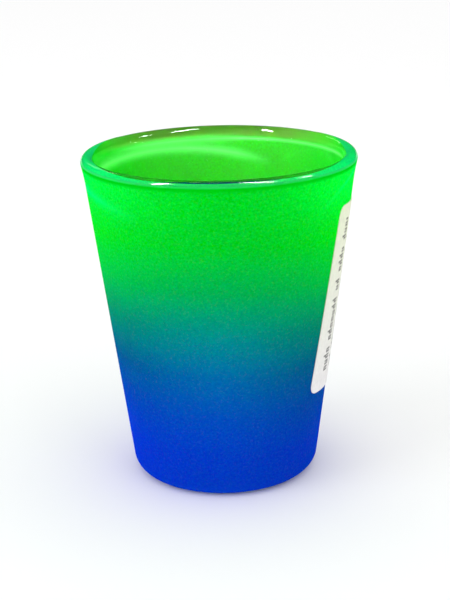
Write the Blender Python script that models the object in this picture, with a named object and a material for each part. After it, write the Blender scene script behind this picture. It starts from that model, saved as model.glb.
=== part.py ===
"""Tapered shot glass with a two-colour sprayed coat and a wrapped paper label.

The glass stands on its foot ring at z = 0, with its axis on +Z. -Y is the front
and +X is the right-hand side, where the label is wrapped.

The outside of the finished glass is one cone that rounds into a flat foot. Every
layer is placed by its inset, its distance inwards from that finished outside, so
an outset layer such as the label has a negative inset.
"""

import math

import bmesh
import bpy

# Outside of the finished glass
HEIGHT = 0.0600
TOP_RADIUS = 0.0246  # the cone's radius in the plane of the rim
FOOT_RADIUS = 0.0169  # the cone's radius in the plane of the foot
HEEL_RADIUS = 0.0032
LEAN = math.atan((TOP_RADIUS - FOOT_RADIUS) / HEIGHT)

# Inside of the glass
RIM_ROUND = 0.0012  # the rim is a full round, twice this thick
RIM_BEAD = 0.0002  # how far the rim stands out from the cone
INNER_LEAN = math.radians(7.75)
FLOOR_HEIGHT = 0.0130
FLOOR_FILLET = 0.0050

# Underside of the glass
RING_OUTER_RADIUS = 0.0136
RING_INNER_RADIUS = 0.0114
RING_CHAMFER = 0.0003
PUSH_UP_RADIUS = 0.0106
PUSH_UP_DEPTH = 0.0014

# Sprayed lacquer
FIT_GAP = 0.0003  # clearance between pieces that lie face to face
LACQUER_THICKNESS = 0.00025
BARE_RIM = 0.0014  # the band of clear glass above the lacquer
COLOUR_JOINT_HEIGHT = 0.0300  # where green gives way to blue
HEEL_EDGE_ANGLE = math.radians(-75)  # the lacquer ends here on the heel's arc
BASE_LACQUER_RADIUS = 0.0102

# Paper label
LABEL_WIDTH = 0.0332
LABEL_LENGTH = 0.0351
LABEL_CORNER_RADIUS = 0.0018
LABEL_AZIMUTH = math.radians(102.4)  # from the front towards the right
LABEL_MIDDLE_HEIGHT = 0.0339
ADHESIVE_THICKNESS = 0.0001
PAPER_THICKNESS = 0.0001

# Fineness of the meshes
SEGMENTS = 72
ARC_STEP = math.radians(15)
SHARP_ANGLE = math.radians(35)
LABEL_ROWS = 6
LABEL_COLUMNS = 18
LABEL_CORNER_COLUMNS = 4

GLASS_INSET = LACQUER_THICKNESS + FIT_GAP


def clear_scene():
    for scene_object in list(bpy.data.objects):
        bpy.data.objects.remove(scene_object)


def principled(name, colour, roughness, transmission=0.0):
    """A material with one Principled BSDF, coloured in linear RGB."""
    material = bpy.data.materials.new(name)
    material.use_nodes = True
    shader = material.node_tree.nodes["Principled BSDF"]
    shader.inputs["Base Color"].default_value = (*colour, 1.0)
    shader.inputs["Roughness"].default_value = roughness
    shader.inputs["Metallic"].default_value = 0.0
    shader.inputs["Transmission Weight"].default_value = transmission
    return material


def arc(centre, radius, start, end):
    """Points of an arc in the (radius, height) plane, with both of its ends."""
    steps = max(2, math.ceil(abs(end - start) / ARC_STEP))
    angles = [start + (end - start) * i / steps for i in range(steps + 1)]
    return [
        (centre[0] + radius * math.cos(a), centre[1] + radius * math.sin(a)) for a in angles
    ]


def wall_radius(height, inset=0.0):
    """Radius of the outer cone, moved inwards along its normal by the inset."""
    return FOOT_RADIUS + height * math.tan(LEAN) - inset / math.cos(LEAN)


def heel_arc(inset, end_angle):
    """The rounding from the cone down to the foot, from its top to the end angle."""
    centre = (wall_radius(HEEL_RADIUS, HEEL_RADIUS), HEEL_RADIUS)
    return arc(centre, HEEL_RADIUS - inset, -LEAN, end_angle)


def turned(name, outline, material):
    """A solid of revolution. The outline is closed, or has both ends on the axis."""
    on_axis = outline[0][0] == 0.0
    mesh = bpy.data.meshes.new(name)
    bm = bmesh.new()
    verts = [bm.verts.new((radius, 0.0, height)) for radius, height in outline]
    edges = [bm.edges.new(pair) for pair in zip(verts, verts[1:])]
    if not on_axis:
        edges.append(bm.edges.new((verts[-1], verts[0])))
    bmesh.ops.spin(
        bm,
        geom=verts + edges,
        cent=(0.0, 0.0, 0.0),
        axis=(0.0, 0.0, 1.0),
        angle=math.tau,
        steps=SEGMENTS,
        use_merge=True,
    )
    bmesh.ops.remove_doubles(bm, verts=bm.verts, dist=1e-7)
    bmesh.ops.recalc_face_normals(bm, faces=bm.faces)
    bm.to_mesh(mesh)
    bm.free()
    return finished(name, mesh, material)


def finished(name, mesh, material):
    """The object of a mesh, shaded smooth except over its sharp edges."""
    mesh.materials.append(material)
    mesh.shade_smooth()
    mesh.set_sharp_from_angle(angle=SHARP_ANGLE)
    made = bpy.data.objects.new(name, mesh)
    bpy.context.scene.collection.objects.link(made)
    return made


def foot_outline():
    """The clear glass underside, from the push-up's middle out to the heel."""
    return [
        (0.0, PUSH_UP_DEPTH),
        (PUSH_UP_RADIUS, PUSH_UP_DEPTH),
        (RING_INNER_RADIUS, RING_CHAMFER),
        (RING_INNER_RADIUS + RING_CHAMFER, 0.0),
        (RING_OUTER_RADIUS - RING_CHAMFER, 0.0),
        (RING_OUTER_RADIUS, RING_CHAMFER),
    ]


def wall_outline():
    """The coated outside of the glass, from the foot up to the ledge of the bare rim."""
    ledge = HEIGHT - BARE_RIM
    heel = heel_arc(GLASS_INSET, math.radians(-90))
    return [
        *reversed(heel),
        (wall_radius(ledge, GLASS_INSET), ledge),
        (wall_radius(ledge), ledge),
    ]


def rim_outline():
    """The full round of the beaded rim, from the outside to the inside."""
    centre_height = HEIGHT - RIM_ROUND
    centre = (wall_radius(centre_height, RIM_ROUND) + RIM_BEAD, centre_height)
    return arc(centre, RIM_ROUND, -LEAN, math.pi - INNER_LEAN)


def cavity_outline(rim_end):
    """The inside of the glass, from the end of the rim down to the floor's middle."""
    centre_height = FLOOR_HEIGHT + FLOOR_FILLET
    inner_radius = rim_end[0] - (rim_end[1] - centre_height) * math.tan(INNER_LEAN)
    centre = (inner_radius - FLOOR_FILLET / math.cos(INNER_LEAN), centre_height)
    return [
        *arc(centre, FLOOR_FILLET, -INNER_LEAN, math.radians(-90)),
        (0.0, FLOOR_HEIGHT),
    ]


def glass_body():
    """The pressed glass: thick foot, tapered wall and rounded rim."""
    rim = rim_outline()
    outline = foot_outline() + wall_outline() + rim + cavity_outline(rim[-1])
    material = principled("clear_glass", (0.90, 0.97, 0.93), 0.02, transmission=1.0)
    return turned("glass_body", outline, material)


def lacquer_sleeve(name, outer, inner, colour):
    """A sleeve of lacquer between its outer and inner outlines, both from the top down."""
    return turned(name, outer + inner[::-1], principled(name, colour, 0.55))


def green_lacquer():
    """The upper spray coat, from the bare rim down to the colour joint."""
    heights = (HEIGHT - BARE_RIM - FIT_GAP, COLOUR_JOINT_HEIGHT + FIT_GAP / 2)
    outer = [(wall_radius(z), z) for z in heights]
    inner = [(wall_radius(z, LACQUER_THICKNESS), z) for z in heights]
    return lacquer_sleeve("green_lacquer", outer, inner, (0.0, 0.72, 0.03))


def blue_lacquer():
    """The lower spray coat, from the colour joint down round the heel."""
    top = COLOUR_JOINT_HEIGHT - FIT_GAP / 2
    outer = [(wall_radius(top), top), *heel_arc(0.0, HEEL_EDGE_ANGLE)]
    inner = [
        (wall_radius(top, LACQUER_THICKNESS), top),
        *heel_arc(LACQUER_THICKNESS, HEEL_EDGE_ANGLE),
    ]
    return lacquer_sleeve("blue_lacquer", outer, inner, (0.0, 0.06, 0.55))


def base_lacquer():
    """The blue spray inside the push-up, clear of the ring that the glass stands on."""
    top = PUSH_UP_DEPTH - FIT_GAP
    bottom = top - LACQUER_THICKNESS
    outline = [
        (0.0, bottom),
        (BASE_LACQUER_RADIUS, bottom),
        (BASE_LACQUER_RADIUS, top),
        (0.0, top),
    ]
    return turned("base_lacquer", outline, principled("base_lacquer", (0.0, 0.06, 0.55), 0.55))


def label_columns():
    """(distance across, half length there) of each column of the rounded rectangle."""
    half_width, half_length = LABEL_WIDTH / 2, LABEL_LENGTH / 2
    straight = half_width - LABEL_CORNER_RADIUS
    corner = []
    for i in range(LABEL_CORNER_COLUMNS):
        turn = math.pi / 2 * (1 - i / LABEL_CORNER_COLUMNS)
        across = straight + LABEL_CORNER_RADIUS * math.sin(turn)
        drop = LABEL_CORNER_RADIUS * (1 - math.cos(turn))
        corner.append((across, half_length - drop))
    middle = [
        (straight - 2 * straight * i / LABEL_COLUMNS, half_length) for i in range(LABEL_COLUMNS + 1)
    ]
    return corner + middle + [(-across, half) for across, half in reversed(corner)]


def on_cone(across, along, outset):
    """A point of the flat label, wrapped without stretching round the outer cone.

    The cone unrolls into a sector about its apex, below the foot, so a flat point
    keeps its distance from the apex and turns that sector's angle into azimuth.
    """
    apex_height = -FOOT_RADIUS / math.tan(LEAN)
    middle = (LABEL_MIDDLE_HEIGHT - apex_height) / math.cos(LEAN)
    slant = math.hypot(across, middle + along)
    azimuth = LABEL_AZIMUTH + math.atan2(across, middle + along) / math.sin(LEAN)
    radius = slant * math.sin(LEAN) + outset * math.cos(LEAN)
    height = apex_height + slant * math.cos(LEAN) - outset * math.sin(LEAN)
    return (radius * math.sin(azimuth), -radius * math.cos(azimuth), height)


def wrapped_sheet(name, outset, thickness, material):
    """A sheet with rounded corners on the outer cone, its inner face at the outset."""
    mesh = bpy.data.meshes.new(name)
    bm = bmesh.new()
    columns = [
        [
            bm.verts.new(on_cone(across, half * (2 * j / LABEL_ROWS - 1), outset))
            for j in range(LABEL_ROWS + 1)
        ]
        for across, half in label_columns()
    ]
    for left, right in zip(columns, columns[1:]):
        for j in range(LABEL_ROWS):
            bm.faces.new((left[j], left[j + 1], right[j + 1], right[j]))
    bm.to_mesh(mesh)
    bm.free()
    made = finished(name, mesh, material)
    solidify = made.modifiers.new("thickness", "SOLIDIFY")
    solidify.thickness = thickness
    solidify.offset = 1.0
    solidify.use_even_offset = True
    return made


def label():
    """The adhesive film and the paper, each clear of the layer under it."""
    wrapped_sheet(
        "label_adhesive",
        FIT_GAP,
        ADHESIVE_THICKNESS,
        principled("label_adhesive", (0.75, 0.72, 0.62), 0.3),
    )
    wrapped_sheet(
        "label_paper",
        2 * FIT_GAP + ADHESIVE_THICKNESS,
        PAPER_THICKNESS,
        principled("label_paper", (0.82, 0.82, 0.78), 0.75),
    )


clear_scene()
glass_body()
green_lacquer()
blue_lacquer()
base_lacquer()
label()
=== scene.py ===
"""Looks of a tapered shot glass: clear glass, a spray coat that fades from green to
blue, and a printed paper label, with the studio that shows them.

Everything is in metres in the part's own frame: +Z up, the foot on z = 0, -Y to the
front, and +X to the right, where the label is wrapped.
"""

import math

import bmesh
import bpy
from mathutils import Matrix, Vector


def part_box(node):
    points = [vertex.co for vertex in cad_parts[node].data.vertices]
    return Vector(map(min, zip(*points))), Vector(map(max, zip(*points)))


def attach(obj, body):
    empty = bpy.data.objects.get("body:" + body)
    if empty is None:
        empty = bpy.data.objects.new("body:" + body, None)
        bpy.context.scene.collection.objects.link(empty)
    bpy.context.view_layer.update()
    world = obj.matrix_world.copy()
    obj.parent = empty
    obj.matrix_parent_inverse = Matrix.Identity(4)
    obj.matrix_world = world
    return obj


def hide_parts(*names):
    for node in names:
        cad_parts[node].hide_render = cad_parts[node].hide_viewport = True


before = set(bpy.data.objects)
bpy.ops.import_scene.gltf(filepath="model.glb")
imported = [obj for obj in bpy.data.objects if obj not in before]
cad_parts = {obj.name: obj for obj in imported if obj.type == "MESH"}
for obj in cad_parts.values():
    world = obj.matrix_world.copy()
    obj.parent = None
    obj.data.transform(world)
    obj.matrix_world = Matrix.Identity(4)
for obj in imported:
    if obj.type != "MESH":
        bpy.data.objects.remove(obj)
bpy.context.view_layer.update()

# The outer cone, read from the two lacquer sleeves of the frame
_, SLEEVE_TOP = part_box("green_lacquer")
_, SLEEVE_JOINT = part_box("blue_lacquer")
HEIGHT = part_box("glass_body")[1].z
LEAN = math.atan((SLEEVE_TOP.x - SLEEVE_JOINT.x) / (SLEEVE_TOP.z - SLEEVE_JOINT.z))
FOOT_RADIUS = SLEEVE_TOP.x - SLEEVE_TOP.z * math.tan(LEAN)

# The glass, as the frame's glass_body is turned
HEEL_RADIUS = 0.0032
RIM_ROUND = 0.0012
RIM_BEAD = 0.0002  # how far the rim stands out from the cone
BEAD_LENGTH = 0.0040  # the wall flares out to the bead over this length
INNER_LEAN = math.radians(7.75)
FLOOR_HEIGHT = 0.0130
FLOOR_FILLET = 0.0050
FLOOR_CROWN = 0.0003  # the plunger leaves the floor slightly higher in the middle
RING_OUTER_RADIUS = 0.0136
RING_INNER_RADIUS = 0.0114
RING_ROUND = 0.0003
PUSH_UP_RADIUS = 0.0106
PUSH_UP_DEPTH = 0.0014

# The coat is bonded to the glass, so its inner face lies a little inside the glass
COAT_THICKNESS = 0.00010
COAT_BOND = 0.00004
RIM_COAT_ANGLE = math.radians(20)  # the coat ends here on the rim's round
HEEL_COAT_ANGLE = math.radians(-75)  # and here on the heel's
MIST_ANGLE = math.radians(42)  # a mist of overspray reaches this far at the front and back
MIST_SIDE_ANGLE = math.radians(140)  # and this far over the rim at the sides
MIST_POWER = 6  # how steeply that reach grows towards the sides
MIST_THICKNESS = 0.00005
BASE_COAT_RADIUS = 0.0102

# The label, as the frame's label_paper is wrapped
LABEL_WIDTH = 0.0332
LABEL_LENGTH = 0.0351
LABEL_CORNER_RADIUS = 0.0018
LABEL_AZIMUTH = math.radians(102.4)
LABEL_MIDDLE_HEIGHT = 0.0339
GLUE_THICKNESS = 0.00004
PAPER_THICKNESS = 0.00009
GLUE_GAP = 0.00001  # between the coat and the glue

# What is printed on the label, measured across from its left edge and up from its foot
PRINT_LINES = (
    # baseline across, start, length, letter size, random seed
    (0.0060, 0.0024, 0.0300, 0.0019, 3),
    (0.0092, 0.0036, 0.0278, 0.0013, 4),
    (0.0121, 0.0058, 0.0234, 0.0013, 5),
    (0.0282, 0.0060, 0.0230, 0.0015, 6),
)
LETTER_PITCH = 0.62  # as a share of the letter size
LETTER_FIRST_STEM = (0.06, 0.33)  # as shares of the pitch
LETTER_SECOND_STEM = (0.50, 0.77)
LETTER_BAR = 0.25  # the bar's thickness, as a share of the letter size
LETTER_TALL_SIZE = 1.5  # the height of tall letters, as a share of the others'
LETTER_TALL_FROM = 0.65  # of even random values from 0 to 1
LETTER_RAISED_FROM = 0.4  # the bar is at the top in letters above this value
LETTER_BLANKS = 0.17  # the share of places left blank
BAR_BLOCK = (0.0150, 0.0255, 0.0060, 0.0294)  # left, right, foot and top
BAR_PITCH = 0.00036
INK_COLOUR = (0.020, 0.018, 0.018)
PAPER_LOW_COLOUR = (0.80, 0.78, 0.79)
PAPER_HIGH_COLOUR = (0.77, 0.82, 0.61)

# Coat colours in linear RGB, evenly spaced from the lowest height to the highest
COAT_LOW = 0.008
COAT_HIGH = 0.056
SIDE_POWER = 1.5  # how steeply the side colours come in towards the sides
FADE_TILT = 0.0009  # the fade lies this much lower at the right, and higher at the left
BLUE_LEFT_LIGHT = 0.15  # painted light: the blue is this share stronger at the left, and weaker at the right
FRONT_COLOURS = (
    (0.0002, 0.046, 0.56),
    (0.0002, 0.076, 0.48),
    (0.0002, 0.144, 0.38),
    (0.0002, 0.265, 0.26),
    (0.0004, 0.390, 0.090),
    (0.0010, 0.535, 0.024),
    (0.0010, 0.525, 0.018),
)
# painted light and shade: at the sides the top is lighter, and the lower part darker, than at the
# front
SIDE_LIGHT_AND_SHADE_COLOURS = (
    (0.0002, 0.023, 0.44),
    (0.0002, 0.038, 0.30),
    (0.0002, 0.060, 0.155),
    (0.0002, 0.175, 0.070),
    (0.0004, 0.405, 0.030),
    (0.0010, 0.580, 0.006),
    (0.0010, 0.760, 0.038),
)
EDGE_COLOUR = (0.0005, 0.48, 0.006)  # where the coat ends, in a darker line under the rim
MIST_AND_HAZE_COLOUR = (0.02, 0.60, 0.12)  # the overspray on the rim, at the front and back, with a touch of red that is a painted haze of reflected light
# painted light: the mist is brighter at the sides
MIST_SIDE_LIGHT_COLOUR = (0.0005, 0.95, 0.18)
EDGE_HEIGHTS = (0.0579, 0.0585)  # the outside turns to the edge's colour between these
MIST_HEIGHTS = (0.0587, 0.0590)  # and to the mist's colour between these
INNER_EDGE_HEIGHTS = (0.0575, 0.0581)  # the inside turns to the colours of its edge here
COAT_EDGE_LIGHT_AND_SHADE_STOPS = (
    # the coat's edge seen from inside, painted light at the front and sides and painted shade
    # towards the back: how far from the front to the back, and the colour
    (0.45, (0.005, 0.70, 0.12)),
    (0.62, (0.010, 0.55, 0.02)),
    (0.92, (0.15, 0.33, 0.05)),
)
MIST_EDGE_LIGHT_AND_SHADE_STOPS = (
    # the same for the mist, with the same painted light and shade
    (0.50, (0.005, 0.80, 0.20)),
    (0.75, (0.02, 0.60, 0.12)),
    (0.95, (0.15, 0.33, 0.05)),
)
INNER_SHADE = (1.0, 0.80, 0.7)  # the inside is this share of the outside's colour
INNER_SIDE_SHARE = 0.4  # inside, the side colours show only this much
INNER_TINT = (0.042, 0.0, 0.014)  # and this is added, except at the sides
TINT_HEIGHTS = (0.030, 0.050)  # from nothing to all of it
TINT_SIDES = (1.0, 0.4)  # and the same for how far sideways

# The fade wanders up and down by this much, over this length
DRIFT = 0.0008
DRIFT_SIZE = 0.004

GRAIN_SIZE = 0.0004
GRAIN_SHARE = (0.0, 0.75, 0.25)  # how far the speckle moves each colour, as a share of it
GRAIN_EXTRA = (0.09, 0.04, 0.11)  # and on top of that

PAPER_FIBRE_SIZE = 0.0009
PAPER_FIBRE_TONES = (0.78, 1.16)  # from the dark fibres to the light ones
INK_WEAR_SIZE = 0.0005
INK_WEAR = (0.6, 1.1)  # how well the ink covers the paper
GLUE_ROUGHNESS_SIZE = 0.0005
GLUE_ROUGHNESS = (0.2, 0.45)

# Fine unevenness of the surfaces: size of its features, detail, and depth
GLASS_RELIEF = (0.006, 2.0, 0.00002)
COAT_RELIEF = (0.0003, 3.0, 0.00002)
MIST_RELIEF = (0.0006, 3.0, 0.00001)
PAPER_RELIEF = (0.0003, 4.0, 0.00002)

# Bright arcs of painted light on the inside of the coat, round the back.
# Their height is middle + slope * a + curve * a * a, with a from -1 at the left to 1 at the
# right.
PAINTED_LIGHT_ARCS = (
    # middle, slope, curve, half width, start and end across, strength
    (0.0573, 0.0, 0.0, 0.0006, 0.05, 1.2, 1.0),
    (0.0572, 0.0, 0.0, 0.0014, -0.75, 0.10, 0.7),
    (0.0550, -0.0033, -0.0029, 0.0018, -1.2, 0.30, 0.9),
)
# the colour of the painted light in the arcs
PAINTED_ARC_COLOUR = (0.20, 0.95, 0.22)
PAINTED_LIGHT_STREAKS = (
    # the same for streaks of painted light on the outside, round the front
    (0.0490, -0.0061, 0.0, 0.0020, -1.3, -0.74, 0.35),
    (0.0381, 0.0200, 0.0, 0.0010, 0.86, 1.3, 0.35),
)
# the colour of the painted light in the streaks
PAINTED_STREAK_COLOUR = (0.0005, 0.95, 0.28)
STREAK_FADE = 0.15  # of their ends, across
HALF_BLEND = 0.006  # the front and the back half blend over this depth

# Fineness of the meshes
SEGMENTS = 240
ARC_STEP = math.radians(6)
OUTER_WALL_RINGS = 36
INNER_WALL_RINGS = 24
FLOOR_RINGS = 6
PUSH_UP_RINGS = 4
LABEL_COLUMNS = 48
LABEL_CORNER_COLUMNS = 8
LABEL_ROWS = 48
SHARP_ANGLE = math.radians(40)
MERGE_DISTANCE = 1e-7

# Camera: its lens is for Blender's 36 mm sensor along the picture's long side
CAMERA_DISTANCE = 0.2583
CAMERA_ELEVATION = math.radians(18.45)
CAMERA_ROLL = math.radians(-1.31)
CAMERA_LENS = 84.0
CAMERA_CLIP_START = 0.01
CAMERA_OFFSET = (0.00049, 0.00186)  # of the picture's centre from the glass's, right and up

# Studio
FLOOR_RADIUS = 4.0
FLOOR_SEGMENTS = 96
FLOOR_COLOUR = (0.96, 0.96, 0.96)
ROOM_COLOUR = (1.0, 1.0, 1.0)
DARK_ROOM_COLOUR = (0.02, 0.02, 0.02)  # what clear glass and gloss see of the room
SOFTBOX_AIM = (0.0, 0.0, 0.03)
SOFTBOXES = (
    # name, place, size and power in watts
    ("key", (-0.60, -0.30, 0.35), 0.4, 1.2),
    ("fill", (0.45, -0.54, 0.35), 0.4, 0.55),
)
LAMP_DISTANCE = 0.7  # from the middle of the rim, where they give small highlights
LAMPS = (
    # name, azimuth and elevation in degrees, width and height in metres, power in watts
    ("left_lamp", -56, 38, 0.05, 0.32, 13.0),
    ("right_lamp", 47, 55, 0.12, 0.44, 7.0),
    ("side_lamp", 83, 35, 0.10, 0.16, 2.0),
    ("back_lamp", 202, 27, 0.05, 0.20, 0.07),
)


# ---------------------------------------------------------------- shapes


def arc(centre, radius, start, end):
    """Points of an arc in the (radius, height) plane, with both of its ends."""
    steps = max(2, math.ceil(abs(end - start) / ARC_STEP))
    angles = [start + (end - start) * i / steps for i in range(steps + 1)]
    return [
        (centre[0] + radius * math.cos(a), centre[1] + radius * math.sin(a)) for a in angles
    ]


def line(start, end, steps):
    """Points of a straight run, without its ends."""
    return [
        tuple(a + (b - a) * i / steps for a, b in zip(start, end)) for i in range(1, steps)
    ]


def wall_radius(height, inset):
    """Radius of the outer cone, moved inwards along its normal by the inset."""
    return FOOT_RADIUS + height * math.tan(LEAN) - inset / math.cos(LEAN)


def side(inset, top):
    """Points up the outer wall, from above the heel to the top, where the bead is full."""
    points = []
    low = heel_arc(inset, 0.0)[0][1]
    straight = HEIGHT - BEAD_LENGTH
    for i in range(1, OUTER_WALL_RINGS + 1):
        height = low + (top - low) * i / OUTER_WALL_RINGS
        flare = max(0.0, (height - straight) / (top - straight))
        bead = RIM_BEAD * flare * flare * (3 - 2 * flare)
        points.append((wall_radius(height, inset) + bead, height))
    return points


def rim_centre():
    """The middle of the rim's round section, as (radius, height)."""
    height = HEIGHT - RIM_ROUND
    return wall_radius(height, RIM_ROUND) + RIM_BEAD, height


def rim_arc(inset, end_angle):
    """The rounding of the rim, from the top of the wall to the end angle."""
    return arc(rim_centre(), RIM_ROUND - inset, -LEAN, end_angle)


def heel_arc(inset, end_angle):
    """The rounding from the cone down to the foot, from its top to the end angle."""
    centre = (wall_radius(HEEL_RADIUS, HEEL_RADIUS), HEEL_RADIUS)
    return arc(centre, HEEL_RADIUS - inset, -LEAN, end_angle)


def turned(name, outline):
    """A solid of revolution. The outline is closed, or has both ends on the axis."""
    on_axis = outline[0][0] == 0.0
    bm = bmesh.new()
    verts = [bm.verts.new((radius, 0.0, height)) for radius, height in outline]
    edges = [bm.edges.new(pair) for pair in zip(verts, verts[1:])]
    if not on_axis:
        edges.append(bm.edges.new((verts[-1], verts[0])))
    bmesh.ops.spin(
        bm,
        geom=verts + edges,
        cent=(0.0, 0.0, 0.0),
        axis=(0.0, 0.0, 1.0),
        angle=math.tau,
        steps=SEGMENTS,
        use_merge=True,
    )
    bmesh.ops.remove_doubles(bm, verts=bm.verts, dist=MERGE_DISTANCE)
    bmesh.ops.recalc_face_normals(bm, faces=bm.faces)
    return finished(name, bm)


def finished(name, bm):
    """The object of a bmesh, shaded smooth except over its sharp edges."""
    mesh = bpy.data.meshes.new(name)
    bm.to_mesh(mesh)
    bm.free()
    mesh.shade_smooth()
    mesh.set_sharp_from_angle(angle=SHARP_ANGLE)
    made = bpy.data.objects.new(name, mesh)
    bpy.context.scene.collection.objects.link(made)
    return made


# ---------------------------------------------------------------- pieces


def glass():
    """The pressed glass body."""
    heel = heel_arc(COAT_BOND, -math.pi / 2)[::-1]
    rim = rim_arc(COAT_BOND, math.pi - INNER_LEAN)
    wall = side(COAT_BOND, rim[0][1])
    outline = [*foot_outline(), *heel, *wall, *rim[1:], *cavity_outline(rim[-1])]
    return turned("glass", outline)


def foot_outline():
    """The push-up and the foot ring, from the axis outwards."""
    middle, edge = (0.0, PUSH_UP_DEPTH), (PUSH_UP_RADIUS, PUSH_UP_DEPTH)
    inner_round = (RING_INNER_RADIUS + RING_ROUND, RING_ROUND)
    outer_round = (RING_OUTER_RADIUS - RING_ROUND, RING_ROUND)
    return [
        middle,
        *line(middle, edge, PUSH_UP_RINGS),
        edge,
        *arc(inner_round, RING_ROUND, math.pi, 1.5 * math.pi),
        *arc(outer_round, RING_ROUND, -math.pi / 2, 0.0),
    ]


def cavity_outline(rim_end):
    """The inner wall, the fillet and the floor, from the end of the rim to the axis."""
    fillet_height = FLOOR_HEIGHT + FLOOR_FILLET
    inner_radius = rim_end[0] - (rim_end[1] - fillet_height) * math.tan(INNER_LEAN)
    fillet_centre = (inner_radius - FLOOR_FILLET / math.cos(INNER_LEAN), fillet_height)
    fillet = arc(fillet_centre, FLOOR_FILLET, -INNER_LEAN, -math.pi / 2)
    crown = (0.0, FLOOR_HEIGHT + FLOOR_CROWN)
    wall = line(rim_end, fillet[0], INNER_WALL_RINGS)
    return [*wall, *fillet, *line(fillet[-1], crown, FLOOR_RINGS), crown]


def colour_coat():
    """The spray coat, one skin from the bare rim down round the heel."""
    faces = []
    for inset in (0.0, COAT_THICKNESS):
        heel = heel_arc(inset, HEEL_COAT_ANGLE)[::-1]
        rim = rim_arc(inset, RIM_COAT_ANGLE)
        faces.append([*heel, *side(inset, rim[0][1]), *rim[1:]])
    outer, inner = faces
    return turned("colour_coat", outer + inner[::-1])


def rim_mist():
    """The glossy mist of overspray on the rim, which reaches further over it at the sides."""
    centre = rim_centre()
    inner_round = RIM_ROUND - COAT_BOND - MIST_THICKNESS / 2
    outer = arc(centre, RIM_ROUND, RIM_COAT_ANGLE, MIST_SIDE_ANGLE)
    inner = arc(centre, inner_round, RIM_COAT_ANGLE, MIST_SIDE_ANGLE)
    made = turned("rim_mist", outer + inner[::-1])
    # draw it back round the rim towards the coat's edge, less and less towards the sides
    narrowest = (MIST_ANGLE - RIM_COAT_ANGLE) / (MIST_SIDE_ANGLE - RIM_COAT_ANGLE)
    for vert in made.data.vertices:
        radius = math.hypot(vert.co.x, vert.co.y)
        reach = narrowest + (1 - narrowest) * (abs(vert.co.x) / radius) ** MIST_POWER
        out, up = radius - centre[0], vert.co.z - centre[1]
        angle = RIM_COAT_ANGLE + (math.atan2(up, out) - RIM_COAT_ANGLE) * reach
        size = math.hypot(out, up)
        moved = (centre[0] + size * math.cos(angle)) / radius
        vert.co = (vert.co.x * moved, vert.co.y * moved, centre[1] + size * math.sin(angle))
    return made


def base_coat():
    """The spray inside the push-up."""
    bottom = PUSH_UP_DEPTH - COAT_THICKNESS
    top = PUSH_UP_DEPTH - COAT_THICKNESS / 4  # just clear of the glass
    outline = [
        (0.0, bottom),
        (BASE_COAT_RADIUS, bottom),
        (BASE_COAT_RADIUS, top),
        (0.0, top),
    ]
    return turned("base_coat", outline)


def label_outline():
    """(across, half length there) of each column of the label, from right to left."""
    straight = LABEL_WIDTH / 2 - LABEL_CORNER_RADIUS
    half_length = LABEL_LENGTH / 2
    turns = [
        math.pi / 2 * (1 - i / LABEL_CORNER_COLUMNS) for i in range(LABEL_CORNER_COLUMNS)
    ]
    corner = [
        (
            straight + LABEL_CORNER_RADIUS * math.sin(turn),
            half_length - LABEL_CORNER_RADIUS * (1 - math.cos(turn)),
        )
        for turn in turns
    ]
    middle = [
        (straight * (1 - 2 * i / LABEL_COLUMNS), half_length) for i in range(LABEL_COLUMNS + 1)
    ]
    return corner + middle + [(-across, half) for across, half in reversed(corner)]


def on_cone(across, along, outset):
    """A point of the flat label, wrapped without stretching round the outer cone."""
    apex_height = -FOOT_RADIUS / math.tan(LEAN)
    middle = (LABEL_MIDDLE_HEIGHT - apex_height) / math.cos(LEAN)
    slant = math.hypot(across, middle + along)
    azimuth = LABEL_AZIMUTH + math.atan2(across, middle + along) / math.sin(LEAN)
    radius = slant * math.sin(LEAN) + outset * math.cos(LEAN)
    height = apex_height + slant * math.cos(LEAN) - outset * math.sin(LEAN)
    return Vector((radius * math.sin(azimuth), -radius * math.cos(azimuth), height))


def wrapped_sheet(name, outset, thickness):
    """A closed sheet on the outer cone, with UVs that run 0 to 1 across and along it."""
    bm = bmesh.new()
    uv = bm.loops.layers.uv.new("UVMap")
    rows = LABEL_ROWS
    flat = [
        [(across, half * (2 * j / rows - 1)) for j in range(rows + 1)]
        for across, half in label_outline()
    ]
    back, front = (
        [[bm.verts.new(on_cone(*spot, level)) for spot in column] for column in flat]
        for level in (outset, outset + thickness)
    )
    uv_of = {
        vert: (across / LABEL_WIDTH + 0.5, along / LABEL_LENGTH + 0.5)
        for grid in (back, front)
        for spots, column in zip(flat, grid)
        for (across, along), vert in zip(spots, column)
    }
    last = len(flat) - 1
    for i in range(last):
        for j in range(rows):
            bm.faces.new((front[i][j], front[i][j + 1], front[i + 1][j + 1], front[i + 1][j]))
            bm.faces.new((back[i][j], back[i + 1][j], back[i + 1][j + 1], back[i][j + 1]))
        bm.faces.new((back[i][0], front[i][0], front[i + 1][0], back[i + 1][0]))
        bm.faces.new((back[i][rows], back[i + 1][rows], front[i + 1][rows], front[i][rows]))
    for j in range(rows):
        bm.faces.new((back[0][j], back[0][j + 1], front[0][j + 1], front[0][j]))
        bm.faces.new((back[last][j], front[last][j], front[last][j + 1], back[last][j + 1]))
    for face in bm.faces:
        for loop in face.loops:
            loop[uv].uv = uv_of[loop.vert]
    bmesh.ops.recalc_face_normals(bm, faces=bm.faces)
    return finished(name, bm)


# ---------------------------------------------------------------- materials


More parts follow.
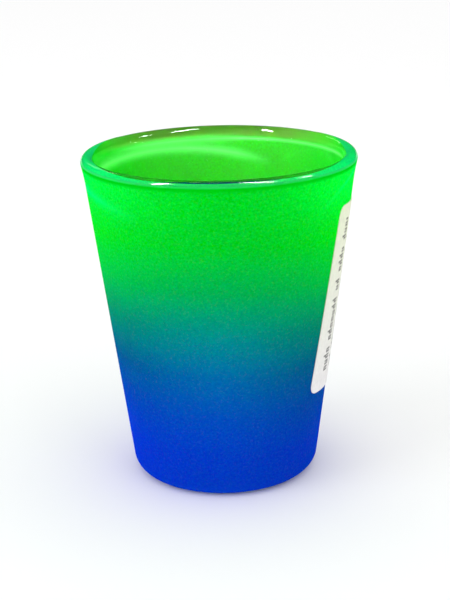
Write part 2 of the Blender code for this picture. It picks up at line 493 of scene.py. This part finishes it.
class Nodes:
    """Short calls that add nodes to one material."""

    def __init__(self, name):
        self.material = bpy.data.materials.new(name)
        self.material.use_nodes = True
        self.tree = self.material.node_tree
        self.shader = self.tree.nodes["Principled BSDF"]

    def link(self, value, socket):
        """Plugs an output into the socket, or sets the socket to a number, vector or colour."""
        if isinstance(value, bpy.types.NodeSocket):
            self.tree.links.new(value, socket)
        elif socket.type == "RGBA":
            socket.default_value = (*value, 1.0)
        else:
            socket.default_value = value

    def set(self, **values):
        """Sets the shader's inputs, named with underscores for spaces."""
        for name, value in values.items():
            self.link(value, self.shader.inputs[name.replace("_", " ")])

    def math(self, operation, first, second=0.0):
        """A calculation with one or two numbers."""
        made = self.tree.nodes.new("ShaderNodeMath")
        made.operation = operation
        self.link(first, made.inputs[0])
        self.link(second, made.inputs[1])
        return made.outputs["Value"]

    def position(self):
        """The point in the part's frame, as a vector and as its height."""
        place = self.tree.nodes.new("ShaderNodeTexCoord").outputs["Object"]
        split = self.tree.nodes.new("ShaderNodeSeparateXYZ")
        self.link(place, split.inputs[0])
        return place, split.outputs["Z"]

    def vector_math(self, operation, first, second=(0.0, 0.0, 0.0), output="Vector"):
        """A calculation with one or two vectors or colours."""
        made = self.tree.nodes.new("ShaderNodeVectorMath")
        made.operation = operation
        self.link(first, made.inputs[0])
        self.link(second, made.inputs[1])
        return made.outputs[output]

    def dot(self, first, second):
        """The dot product of two vectors."""
        return self.vector_math("DOT_PRODUCT", first, second, "Value")

    def outwards(self, place):
        """1 on faces that look away from the part's axis, 0 on faces that look at it."""
        normal = self.tree.nodes.new("ShaderNodeTexCoord").outputs["Normal"]
        away = self.vector_math("MULTIPLY", place, (1.0, 1.0, 0.0))
        return self.math("GREATER_THAN", self.dot(normal, away))

    def sideways(self, place):
        """0 at the front and the back, rising to 1 at the left and right sides."""
        return self.math("POWER", self.math("ABSOLUTE", self.across(place)), SIDE_POWER)

    def across(self, place, axis=(1.0, 0.0, 0.0)):
        """-1 to 1 across the part: from left to right, or along the axis that is given."""
        flat = self.vector_math("MULTIPLY", place, (1.0, 1.0, 0.0))
        return self.dot(self.vector_math("NORMALIZE", flat), axis)

    def between(self, value, none, full):
        """0 at the first value and before it, rising evenly to 1 at the second and past it."""
        made = self.tree.nodes.new("ShaderNodeMapRange")
        self.link(value, made.inputs["Value"])
        made.inputs["From Min"].default_value = none
        made.inputs["From Max"].default_value = full
        return made.outputs["Result"]

    def noise(self, vector, size, detail=2.0, roughness=0.5, output="Fac"):
        """Soft noise from 0 to 1 with features of about that size in metres."""
        made = self.tree.nodes.new("ShaderNodeTexNoise")
        self.link(vector, made.inputs["Vector"])
        made.inputs["Scale"].default_value = 1.0 / size
        made.inputs["Detail"].default_value = detail
        made.inputs["Roughness"].default_value = roughness
        return made.outputs[output]

    def grain(self, place, colour, extra=(0.0, 0.0, 0.0)):
        """The colour with a speckle on it: a share of each channel, and an extra one."""
        speckle = self.noise(place, GRAIN_SIZE, detail=3.0, roughness=0.7, output="Color")
        speckle = self.vector_math("SUBTRACT", speckle, (0.5, 0.5, 0.5))
        strength = self.vector_math("MULTIPLY", colour, GRAIN_SHARE)
        strength = self.vector_math("ADD", strength, extra)
        speckle = self.vector_math("MULTIPLY", speckle, strength)
        speckled = self.vector_math("ADD", colour, speckle)
        return self.vector_math("MAXIMUM", speckled)

    def ramp(self, value, stops):
        """A colour ramp through (position, colour) stops."""
        made = self.tree.nodes.new("ShaderNodeValToRGB")
        self.link(value, made.inputs["Fac"])
        elements = made.color_ramp.elements
        while len(elements) < len(stops):
            elements.new(0.5)
        for element, (place, colour) in zip(elements, stops):
            element.position = place
            element.color = (*colour, 1.0)
        return made.outputs["Color"]

    def rescale(self, value, low, high):
        """Maps 0..1 onto low..high."""
        made = self.tree.nodes.new("ShaderNodeMapRange")
        self.link(value, made.inputs["Value"])
        made.inputs["To Min"].default_value = low
        made.inputs["To Max"].default_value = high
        return made.outputs["Result"]

    def mix(self, kind, factor, first, second):
        """Two colours mixed, added or multiplied, as the kind says."""
        made = self.tree.nodes.new("ShaderNodeMix")
        made.data_type = "RGBA"
        made.blend_type = kind
        self.link(factor, made.inputs["Factor"])
        self.link(first, made.inputs["A"])
        self.link(second, made.inputs["B"])
        return made.outputs["Result"]

    def band(self, value, low, high):
        """1 between the low and the high value, 0 outside them."""
        over = self.math("GREATER_THAN", value, low)
        return self.math("MULTIPLY", over, self.math("LESS_THAN", value, high))

    def chance(self, whole_number, seed):
        """An even random value from 0 to 1 for each whole number."""
        made = self.tree.nodes.new("ShaderNodeTexWhiteNoise")
        made.noise_dimensions = "1D"
        self.link(self.math("ADD", whole_number, 0.5 + 100.0 * seed), made.inputs["W"])
        return made.outputs["Value"]

    def flat_place(self, width, length):
        """Distances across and along a flat sheet, from its UVs."""
        split = self.tree.nodes.new("ShaderNodeSeparateXYZ")
        self.link(self.tree.nodes.new("ShaderNodeTexCoord").outputs["UV"], split.inputs[0])
        return (
            self.math("MULTIPLY", split.outputs["X"], width),
            self.math("MULTIPLY", split.outputs["Y"], length),
        )

    def relief(self, place, size, detail, depth):
        """A fine unevenness of the surface."""
        made = self.tree.nodes.new("ShaderNodeBump")
        self.link(self.noise(place, size, detail), made.inputs["Height"])
        made.inputs["Distance"].default_value = depth
        self.link(made.outputs["Normal"], self.shader.inputs["Normal"])


def glass_material():
    """Clear fire-polished glass."""
    nodes = Nodes("clear_glass")
    place, _ = nodes.position()
    nodes.set(
        Base_Color=(0.96, 0.985, 0.97),
        Roughness=0.015,
        IOR=1.5,
        Transmission_Weight=1.0,
    )
    nodes.relief(place, *GLASS_RELIEF)
    return nodes.material


def painted_inner_edge(nodes, place, stops):
    """The painted light and shade of an upper edge seen from inside, light at the front and sides
    and dark towards the back, by how far it is towards the back.
    """
    backwards = nodes.across(place, (0.0, 1.0, 0.0))
    return nodes.ramp(nodes.between(backwards, -1.0, 1.0), stops)


def painted_light_arc(nodes, place, height, streak):
    """The strength of a streak of painted light along its arc, fading to 0 beside it."""
    middle, slope, curve, half_width, start, end, strength = streak
    across = nodes.across(place)
    path = nodes.math("ADD", nodes.math("MULTIPLY", across, curve), slope)
    path = nodes.math("ADD", nodes.math("MULTIPLY", path, across), middle)
    distance = nodes.math("ABSOLUTE", nodes.math("SUBTRACT", height, path))
    near = nodes.between(distance, half_width, 0.0)
    near = nodes.math("MULTIPLY", nodes.math("MULTIPLY", near, near), strength)
    started = nodes.between(across, start - STREAK_FADE, start + STREAK_FADE)
    unended = nodes.between(across, end + STREAK_FADE, end - STREAK_FADE)
    return nodes.math("MULTIPLY", nodes.math("MULTIPLY", near, started), unended)


def streaked(nodes, place, height, colour, half, streaks, streak_colour):
    """The colour with the streaks of painted light of one half of the coat on it."""
    for streak in streaks:
        painted_light = nodes.math("MULTIPLY", half, painted_light_arc(nodes, place, height, streak))
        colour = nodes.mix("MIX", painted_light, colour, streak_colour)
    return colour


def outer_colour(nodes, place, height, colour):
    """The coat from outside: its blue stronger to the left as painted light, with a darker line
    at its edge below the mist, and streaks of painted light round the front.
    """
    # painted light from the left: the blue is made stronger there
    left_light = nodes.vector_math("MULTIPLY", nodes.across(place), (0.0, 0.0, -BLUE_LEFT_LIGHT))
    left_light = nodes.vector_math("ADD", left_light, (1.0, 1.0, 1.0))
    colour = nodes.vector_math("MULTIPLY", colour, left_light)
    colour = nodes.mix("MIX", nodes.between(height, *EDGE_HEIGHTS), colour, EDGE_COLOUR)
    colour = nodes.mix("MIX", nodes.between(height, *MIST_HEIGHTS), colour, MIST_AND_HAZE_COLOUR)
    front = nodes.between(nodes.dot(place, (0.0, 1.0, 0.0)), HALF_BLEND, 0.0)
    return streaked(nodes, place, height, colour, front, PAINTED_LIGHT_STREAKS, PAINTED_STREAK_COLOUR)


def inner_colour(nodes, place, height, colour):
    """The coat from inside, seen through the glass, with painted shade, painted light and shade
    at its edge, and arcs of painted light round the back.
    """
    colour = nodes.mix("MULTIPLY", 1.0, colour, INNER_SHADE)
    off_sides = nodes.between(nodes.sideways(place), *TINT_SIDES)
    tint = nodes.math("MULTIPLY", nodes.between(height, *TINT_HEIGHTS), off_sides)
    colour = nodes.mix("ADD", tint, colour, INNER_TINT)
    # painted light and shade along the coat's edge, seen from inside
    edge = painted_inner_edge(nodes, place, COAT_EDGE_LIGHT_AND_SHADE_STOPS)
    colour = nodes.mix("MIX", nodes.between(height, *INNER_EDGE_HEIGHTS), colour, edge)
    back = nodes.between(nodes.dot(place, (0.0, 1.0, 0.0)), 0.0, HALF_BLEND)
    return streaked(nodes, place, height, colour, back, PAINTED_LIGHT_ARCS, PAINTED_ARC_COLOUR)


def coat_material():
    """Matte translucent spray lacquer, green fading to blue, with painted light and shade on it.
    """
    nodes = Nodes("ombre_lacquer")
    place, height = nodes.position()
    drift = nodes.rescale(nodes.noise(place, DRIFT_SIZE, detail=3.0), -DRIFT, DRIFT)
    tilt = nodes.math("MULTIPLY", nodes.across(place), FADE_TILT)
    along = nodes.math("ADD", nodes.math("ADD", height, drift), tilt)
    factor = nodes.between(along, COAT_LOW, COAT_HIGH)
    last = len(FRONT_COLOURS) - 1
    front_colour, side_light_and_shade = (
        nodes.ramp(factor, [(i / last, colour) for i, colour in enumerate(colours)])
        for colours in (FRONT_COLOURS, SIDE_LIGHT_AND_SHADE_COLOURS)
    )
    # painted light and shade: the side colours come in towards the sides
    outer_share = nodes.sideways(place)
    inner_share = nodes.math("MULTIPLY", outer_share, INNER_SIDE_SHARE)
    outer, inner = (
        nodes.grain(place, nodes.mix("MIX", share, front_colour, side_light_and_shade), GRAIN_EXTRA)
        for share in (outer_share, inner_share)
    )
    outer = outer_colour(nodes, place, height, outer)
    inner = inner_colour(nodes, place, height, inner)
    colour = nodes.mix("MIX", nodes.outwards(place), inner, outer)
    nodes.set(
        Base_Color=colour,
        Roughness=0.55,
        Specular_IOR_Level=0.0,
        Subsurface_Weight=1.0,
        Subsurface_Radius=colour,
        Subsurface_Scale=0.0010,
    )
    nodes.relief(place, *COAT_RELIEF)
    return nodes.material


def mist_material():
    """The thin overspray that was fired onto the rim, glossier than the coat, with painted light
    that makes it brighter at its sides, and painted light and shade on its edge seen from inside.
    """
    nodes = Nodes("rim_mist")
    place, _ = nodes.position()
    outer = nodes.mix("MIX", nodes.sideways(place), MIST_AND_HAZE_COLOUR, MIST_SIDE_LIGHT_COLOUR)
    inner = painted_inner_edge(nodes, place, MIST_EDGE_LIGHT_AND_SHADE_STOPS)
    colour = nodes.grain(place, nodes.mix("MIX", nodes.outwards(place), inner, outer))
    nodes.set(
        Base_Color=colour,
        Roughness=0.07,
        Specular_IOR_Level=0.35,
        Subsurface_Weight=1.0,
        Subsurface_Radius=colour,
        Subsurface_Scale=0.0002,
    )
    nodes.relief(place, *MIST_RELIEF)
    return nodes.material


def greeked_line(nodes, across, along, print_line):
    """1 on the strokes of one line of made-up marks, which stand for letters.

    The line runs up the label with its feet to the right. Each mark has two stems
    and a bar, at random over or under them, and some places are left blank.
    """
    baseline, start, length, size, seed = print_line
    count = nodes.math("SUBTRACT", along, start)
    count = nodes.math("DIVIDE", count, LETTER_PITCH * size)
    inside = nodes.math("FRACT", count)
    mark = nodes.math("FLOOR", count)
    shape = nodes.chance(mark, seed)
    rise = nodes.math("SUBTRACT", baseline, across)

    tall = nodes.math("GREATER_THAN", shape, LETTER_TALL_FROM)
    raised = nodes.math("GREATER_THAN", shape, LETTER_RAISED_FROM)
    stem_top = nodes.rescale(tall, size, LETTER_TALL_SIZE * size)
    bar_foot = nodes.rescale(raised, 0.0, (1.0 - LETTER_BAR) * size)

    first = nodes.band(inside, *LETTER_FIRST_STEM)
    first = nodes.math("MULTIPLY", first, nodes.math("LESS_THAN", rise, size))
    second = nodes.band(inside, *LETTER_SECOND_STEM)
    second = nodes.math("MULTIPLY", second, nodes.math("LESS_THAN", rise, stem_top))
    bar = nodes.band(nodes.math("SUBTRACT", rise, bar_foot), 0.0, LETTER_BAR * size)
    width = nodes.band(inside, LETTER_FIRST_STEM[0], LETTER_SECOND_STEM[1])
    bar = nodes.math("MULTIPLY", bar, width)
    strokes = nodes.math("MAXIMUM", nodes.math("MAXIMUM", first, second), bar)
    strokes = nodes.math("MULTIPLY", strokes, nodes.math("GREATER_THAN", rise))

    drawn = nodes.math("GREATER_THAN", nodes.chance(mark, seed + 0.5), LETTER_BLANKS)
    drawn = nodes.math("MULTIPLY", drawn, nodes.band(along, start, start + length))
    return nodes.math("MULTIPLY", strokes, drawn)


def bar_block(nodes, across, along):
    """1 on the bars of a made-up bar code."""
    left, right, foot, top = BAR_BLOCK
    bars = nodes.chance(nodes.math("FLOOR", nodes.math("DIVIDE", along, BAR_PITCH)), 0.0)
    area = nodes.math("MULTIPLY", nodes.band(across, left, right), nodes.band(along, foot, top))
    return nodes.math("MULTIPLY", nodes.math("GREATER_THAN", bars, 0.5), area)


def paper_material():
    """Uncoated label paper with made-up print, over a coat that shines through a little."""
    nodes = Nodes("label_paper")
    place, _ = nodes.position()
    across, along = nodes.flat_place(LABEL_WIDTH, LABEL_LENGTH)
    ink = bar_block(nodes, across, along)
    for print_line in PRINT_LINES:
        strokes = greeked_line(nodes, across, along, print_line)
        ink = nodes.math("MAXIMUM", ink, strokes)
    cover = nodes.rescale(nodes.noise(place, INK_WEAR_SIZE, detail=3.0), *INK_WEAR)
    tint = nodes.between(along, 0.0, LABEL_LENGTH)
    colour = nodes.mix("MIX", tint, PAPER_LOW_COLOUR, PAPER_HIGH_COLOUR)
    fibre = nodes.noise(place, PAPER_FIBRE_SIZE, detail=5.0, roughness=0.8)
    fibre = nodes.rescale(fibre, *PAPER_FIBRE_TONES)
    colour = nodes.mix("MULTIPLY", 1.0, colour, fibre)
    colour = nodes.mix("MIX", nodes.math("MULTIPLY", ink, cover), colour, INK_COLOUR)
    nodes.set(Base_Color=colour, Roughness=0.8, Specular_IOR_Level=0.3)
    nodes.relief(place, *PAPER_RELIEF)
    return nodes.material


def glue_material():
    """Clear label adhesive."""
    nodes = Nodes("label_glue")
    place, _ = nodes.position()
    roughness = nodes.rescale(nodes.noise(place, GLUE_ROUGHNESS_SIZE), *GLUE_ROUGHNESS)
    nodes.set(Base_Color=(0.75, 0.72, 0.62), Roughness=roughness)
    return nodes.material


# ---------------------------------------------------------------- studio


def camera():
    """The camera, turned about its own axis by the roll."""
    data = bpy.data.cameras.new("camera")
    data.lens = CAMERA_LENS
    data.clip_start = CAMERA_CLIP_START
    made = bpy.data.objects.new("camera", data)
    bpy.context.scene.collection.objects.link(made)
    middle = Vector((0.0, 0.0, HEIGHT / 2))
    back = Vector((0.0, -math.cos(CAMERA_ELEVATION), math.sin(CAMERA_ELEVATION)))
    up = Vector((0.0, math.sin(CAMERA_ELEVATION), math.cos(CAMERA_ELEVATION)))
    place = middle + back * CAMERA_DISTANCE
    aim = middle + Vector((CAMERA_OFFSET[0], 0.0, 0.0)) + up * CAMERA_OFFSET[1]
    turn = (aim - place).to_track_quat("-Z", "Y").to_matrix().to_4x4()
    made.matrix_world = (
        Matrix.Translation(place) @ turn @ Matrix.Rotation(CAMERA_ROLL, 4, "Z")
    )
    bpy.context.scene.camera = made


def area_light(name, spot, size, power, aim):
    """A square area light that faces the aim."""
    data = bpy.data.lights.new(name, "AREA")
    data.size = size
    data.energy = power
    made = bpy.data.objects.new(name, data)
    bpy.context.scene.collection.objects.link(made)
    made.location = spot
    made.rotation_euler = (Vector(aim) - Vector(spot)).to_track_quat("-Z", "Y").to_euler()
    return made


def rim_lamp(name, azimuth, elevation, width, height, power):
    """A rectangular light that only gives highlights on the rim."""
    turn, rise = math.radians(azimuth), math.radians(elevation)
    spot = (
        LAMP_DISTANCE * math.sin(turn) * math.cos(rise),
        -LAMP_DISTANCE * math.cos(turn) * math.cos(rise),
        LAMP_DISTANCE * math.sin(rise) + HEIGHT,
    )
    made = area_light(name, spot, width, power, (0.0, 0.0, HEIGHT))
    made.data.shape = "RECTANGLE"
    made.data.size_y = height
    made.visible_diffuse = False


def stage_floor():
    """The white floor, which belongs to the stage and not to the object."""
    bm = bmesh.new()
    bmesh.ops.create_circle(bm, cap_ends=True, radius=FLOOR_RADIUS, segments=FLOOR_SEGMENTS)
    floor = finished("floor", bm)
    nodes = Nodes("floor")
    nodes.set(Base_Color=FLOOR_COLOUR, Roughness=0.9, Specular_IOR_Level=0.0)
    floor.data.materials.append(nodes.material)


def room():
    """White light all round. Mirror and see-through paths meet a darker room, so that
    clear glass keeps dark edges against a white ground, as in a bright-field studio."""
    world = bpy.data.worlds.new("room")
    bpy.context.scene.world = world
    world.use_nodes = True
    tree = world.node_tree
    path = tree.nodes.new("ShaderNodeLightPath")
    unscattered = tree.nodes.new("ShaderNodeMath")
    unscattered.operation = "LESS_THAN"
    tree.links.new(path.outputs["Diffuse Depth"], unscattered.inputs[0])
    unscattered.inputs[1].default_value = 0.5
    bent = tree.nodes.new("ShaderNodeMath")
    bent.operation = "MAXIMUM"
    tree.links.new(path.outputs["Is Glossy Ray"], bent.inputs[0])
    tree.links.new(path.outputs["Is Transmission Ray"], bent.inputs[1])
    seen_in_glass = tree.nodes.new("ShaderNodeMath")
    seen_in_glass.operation = "MULTIPLY"
    tree.links.new(unscattered.outputs[0], seen_in_glass.inputs[0])
    tree.links.new(bent.outputs[0], seen_in_glass.inputs[1])
    tone = tree.nodes.new("ShaderNodeMix")
    tone.data_type = "RGBA"
    tree.links.new(seen_in_glass.outputs[0], tone.inputs["Factor"])
    tone.inputs["A"].default_value = (*ROOM_COLOUR, 1.0)
    tone.inputs["B"].default_value = (*DARK_ROOM_COLOUR, 1.0)
    background = tree.nodes["Background"]
    tree.links.new(tone.outputs["Result"], background.inputs["Color"])
    background.inputs["Strength"].default_value = 1.0


def studio():
    """A white floor in soft light, in a pale room."""
    stage_floor()
    room()
    for name, spot, size, power in SOFTBOXES:
        area_light(name, spot, size, power, SOFTBOX_AIM).visible_glossy = False
    for lamp in LAMPS:
        rim_lamp(*lamp)
    bpy.context.scene.view_settings.view_transform = "Standard"


# ---------------------------------------------------------------- assembly


def dress(piece, material, slot, *nodes):
    """Gives a piece its material and body, and hides the frame's nodes it replaces. The slot is
    not used.
    """
    piece.data.materials.append(material)
    if nodes:
        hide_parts(*nodes)
    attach(piece, "root")


coat = coat_material()
dress(glass(), glass_material(), "clear_glass", "glass_body")
dress(colour_coat(), coat, "green_lacquer", "green_lacquer", "blue_lacquer")
dress(rim_mist(), mist_material(), "green_lacquer")
dress(base_coat(), coat, "blue_lacquer", "base_lacquer")
glue = wrapped_sheet("label_glue", GLUE_GAP, GLUE_THICKNESS)
dress(glue, glue_material(), "label_adhesive", "label_adhesive")
paper = wrapped_sheet("label_sheet", GLUE_GAP + GLUE_THICKNESS, PAPER_THICKNESS)
dress(paper, paper_material(), "label_paper", "label_paper")
camera()
studio()
